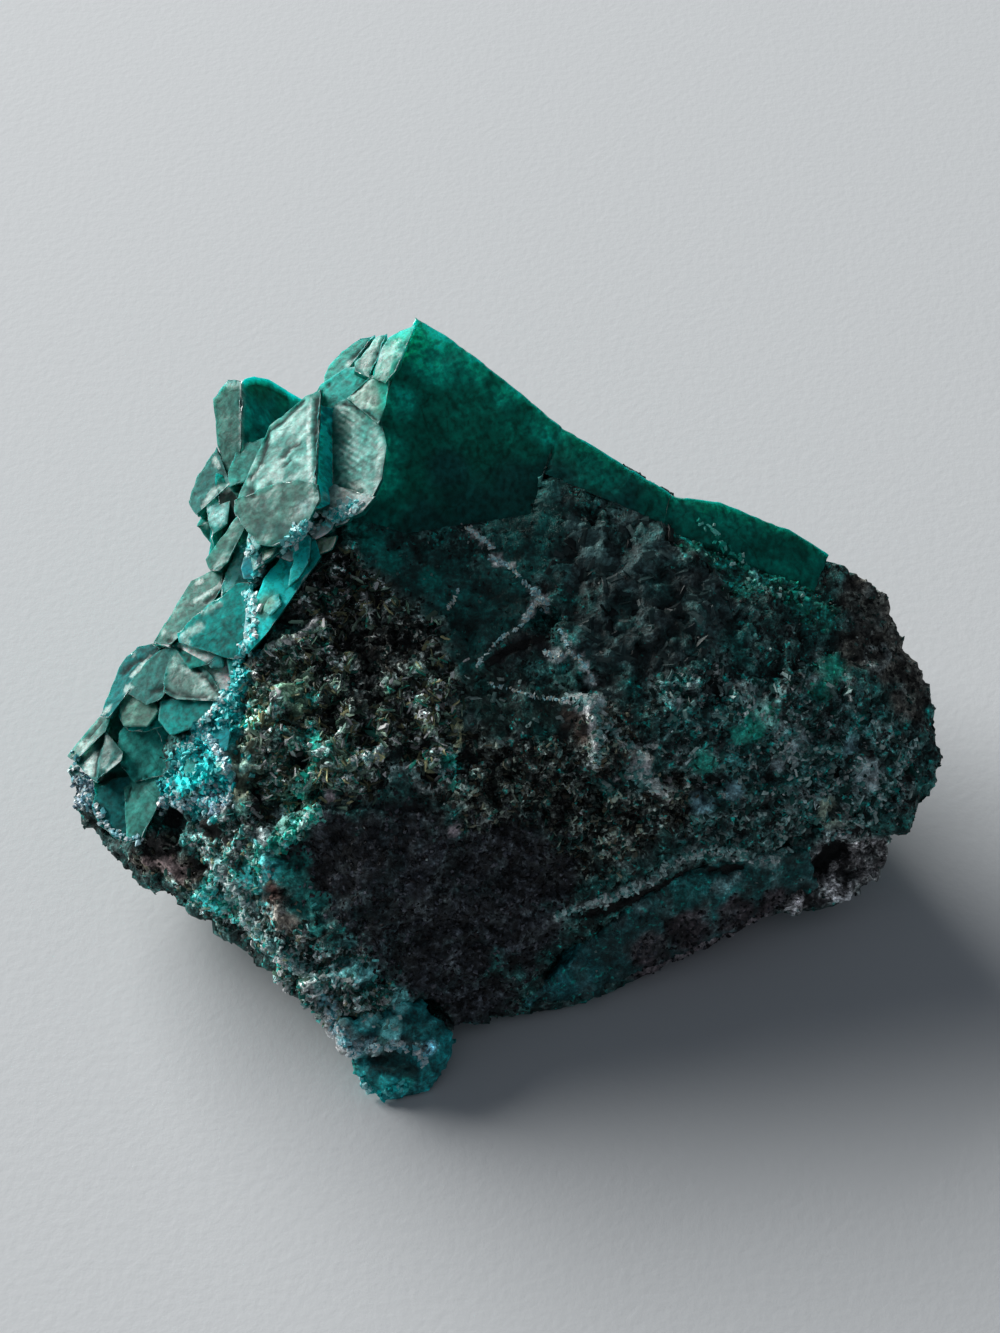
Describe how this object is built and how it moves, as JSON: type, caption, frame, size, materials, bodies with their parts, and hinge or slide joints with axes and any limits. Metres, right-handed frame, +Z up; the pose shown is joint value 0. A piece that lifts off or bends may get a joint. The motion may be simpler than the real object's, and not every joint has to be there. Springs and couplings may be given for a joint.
{
  "type": "dioptase crystal specimen",
  "caption": "Rough hand specimen: stout green dioptase crystals and a translucent green slab grown along one side of dark host rock.",
  "frame": {"origin": "bottom centre of the bounding box, on the surface that the stone rests on", "axes": "+X along the stone's longest side towards its blunt end, +Y away from its rough sloping front, +Z up"},
  "size_m": [0.0619, 0.0473, 0.031],
  "materials": {
    "host_rock": "rough, broken, with teal and white crusts",
    "dioptase": "glassy, translucent emerald to teal",
    "green_vein": "smooth, waxy teal",
    "foot_crystal": "glassy, cloudy teal"
  },
  "bodies": {
    "root": {"host_rock": "host_rock", "dioptase_crystals": "dioptase", "lower_vein": "green_vein", "foot_crystal": "foot_crystal"}
  },
  "joints": []
}
